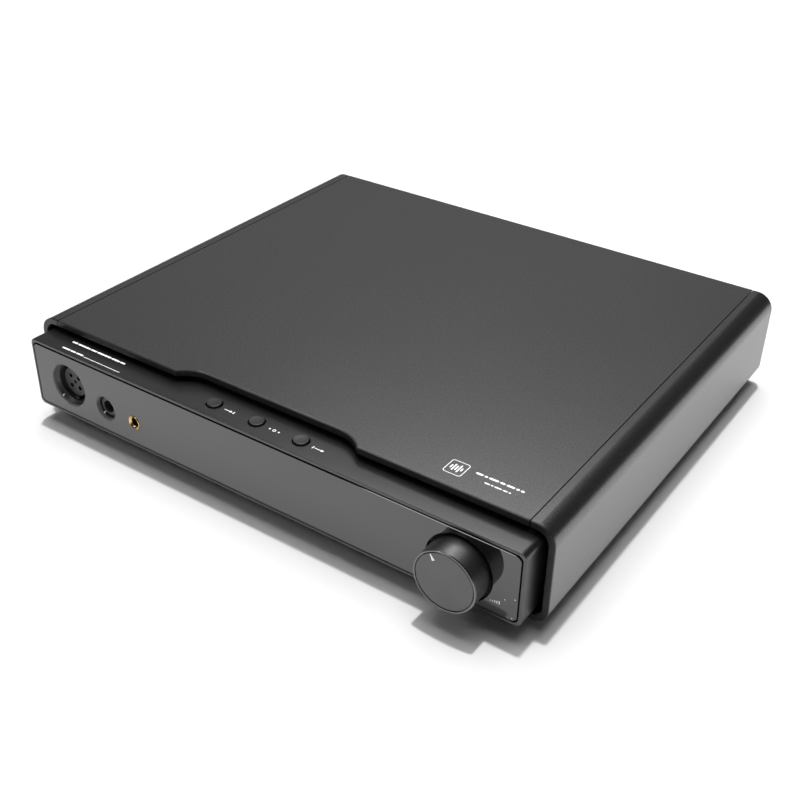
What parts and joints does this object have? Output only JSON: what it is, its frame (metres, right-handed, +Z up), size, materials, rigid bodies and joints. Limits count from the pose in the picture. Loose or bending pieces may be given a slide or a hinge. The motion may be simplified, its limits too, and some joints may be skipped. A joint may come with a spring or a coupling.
{
  "type": "desktop headphone digital-to-analogue converter",
  "caption": "Desktop headphone DAC: flat metal case, inset glossy fascia with headphone sockets, round push buttons, a volume knob and rear audio sockets.",
  "frame": {"origin": "on the table, in the middle of the whole width and of the whole depth from the knob's face to the phono sockets", "axes": "+Z up, +X to the right as the listener faces the front, +Y from the front to the back"},
  "size_m": [0.29, 0.2688, 0.0529],
  "materials": {
    "case_finish": "fine bead-blasted dark grey anodised aluminium",
    "fascia_finish": "fine bead-blasted dark grey anodised aluminium",
    "base_finish": "black powder-coated steel",
    "rear_finish": "black anodised aluminium",
    "bulkhead_black": "flat black",
    "gloss_black": "gloss smoke acrylic",
    "display_glass": "display glass, switched off",
    "socket_black": "black moulded nylon",
    "switch_black": "black moulded switch case",
    "contact_silver": "silver plated contacts",
    "gilded_brass": "gilded brass",
    "circuit_board": "dark green solder mask",
    "button_finish": "blasted anodised aluminium",
    "knob_finish": "satin anodised aluminium with a bright edge",
    "white_inlay": "white enamel",
    "black_screw": "black oxide",
    "shaft_steel": "zinc plated steel",
    "plated_steel": "bright tinned sheet",
    "fuse_glass": "glass fuse",
    "rocker_gloss": "gloss black switch",
    "insulator_white": "white insulator",
    "shutter_grey": "grey shutter",
    "capacitor_sleeve": "dark blue sleeve",
    "heatsink_black": "black anodised extrusion",
    "relay_case": "cream relay case",
    "winding_tape": "copper winding under clear film",
    "ribbon_grey": "grey flat ribbon",
    "foot_rubber": "black rubber"
  },
  "bodies": {
    "chassis": {"balanced_pins": "contact_silver", "balanced_shells": "socket_black", "base_plate": "base_finish", "base_screws": "black_screw", "board_standoffs": "gilded_brass", "button_board": "circuit_board", "button_switches": "switch_black", "converter_shield": "plated_steel", "display_module": "display_glass", "fascia_frame": "fascia_finish", "foot_back_left": "foot_rubber", "foot_back_right": "foot_rubber", "foot_front_left": "foot_rubber", "foot_front_right": "foot_rubber", "foot_screws": "black_screw", "front_bulkhead": "bulkhead_black", "gloss_panel": "gloss_black", "headphone_board": "circuit_board", "inlet_blades": "contact_silver", "jack_44_body": "socket_black", "jack_44_ring": "gilded_brass", "jack_635_body": "socket_black", "jack_635_springs": "contact_silver", "main_board": "circuit_board", "mains_inlet": "socket_black", "mains_transformer": "winding_tape", "optical_case": "socket_black", "output_relays": "relay_case", "phono_barrels": "gilded_brass", "phono_insulators": "insulator_white", "rear_panel": "rear_finish", "rear_screws": "black_screw", "regulator_heatsinks": "heatsink_black", "reservoir_capacitors": "capacitor_sleeve", "ribbon_cable": "ribbon_grey", "rocker_frame": "socket_black", "side_panel_left": "case_finish", "side_panel_right": "case_finish", "top_plate": "case_finish", "transformer_clamp": "shaft_steel", "usb_shell": "plated_steel", "usb_tongue": "insulator_white", "volume_bushing": "gilded_brass", "volume_nut": "shaft_steel", "volume_pot_case": "plated_steel", "xlr_socket_contacts": "contact_silver", "xlr_socket_insert": "socket_black", "xlr_socket_shell": "socket_black"},
    "volume_control": {"volume_knob": "knob_finish", "knob_face_disc": "knob_finish", "knob_pointer": "white_inlay", "knob_set_screw": "black_screw", "volume_shaft": "shaft_steel"},
    "input_key": {"input_button": "button_finish"},
    "select_key": {"select_button": "button_finish"},
    "output_key": {"output_button": "button_finish"},
    "mains_switch": {"power_rocker": "rocker_gloss"},
    "fuse_tray": {"fuse_drawer": "socket_black", "mains_fuse": "fuse_glass"},
    "optical_flap": {"optical_shutter": "shutter_grey"}
  },
  "joints": [
    {"name": "volume_turn", "type": "hinge", "parent": "chassis", "child": "volume_control", "pos_m": [0.1101, -0.128, 0.0266], "axis": [0, 1, 0], "range_deg": [-118.5, 181.5]},
    {"name": "input_press", "type": "slide", "parent": "chassis", "child": "input_key", "axis": [0, 0, -1], "range_m": [0, 0.0006], "stiffness_N_per_m": 1500, "springref_m": -0.0004},
    {"name": "select_press", "type": "slide", "parent": "chassis", "child": "select_key", "axis": [0, 0, -1], "range_m": [0, 0.0006], "stiffness_N_per_m": 1500, "springref_m": -0.0004},
    {"name": "output_press", "type": "slide", "parent": "chassis", "child": "output_key", "axis": [0, 0, -1], "range_m": [0, 0.0006], "stiffness_N_per_m": 1500, "springref_m": -0.0004},
    {"name": "mains_rock", "type": "hinge", "parent": "chassis", "child": "mains_switch", "pos_m": [0.074, 0.1254, 0.029], "axis": [-1, 0, 0], "range_deg": [0, 18]},
    {"name": "fuse_pull", "type": "slide", "parent": "chassis", "child": "fuse_tray", "axis": [0, 1, 0], "range_m": [0, 0.017]},
    {"name": "shutter_swing", "type": "hinge", "parent": "chassis", "child": "optical_flap", "pos_m": [-0.008, 0.1268, 0.0261], "axis": [-1, 0, 0], "range_deg": [0, 80], "stiffness_Nm_per_rad": 0.0008, "springref_deg": -17.19}
  ]
}
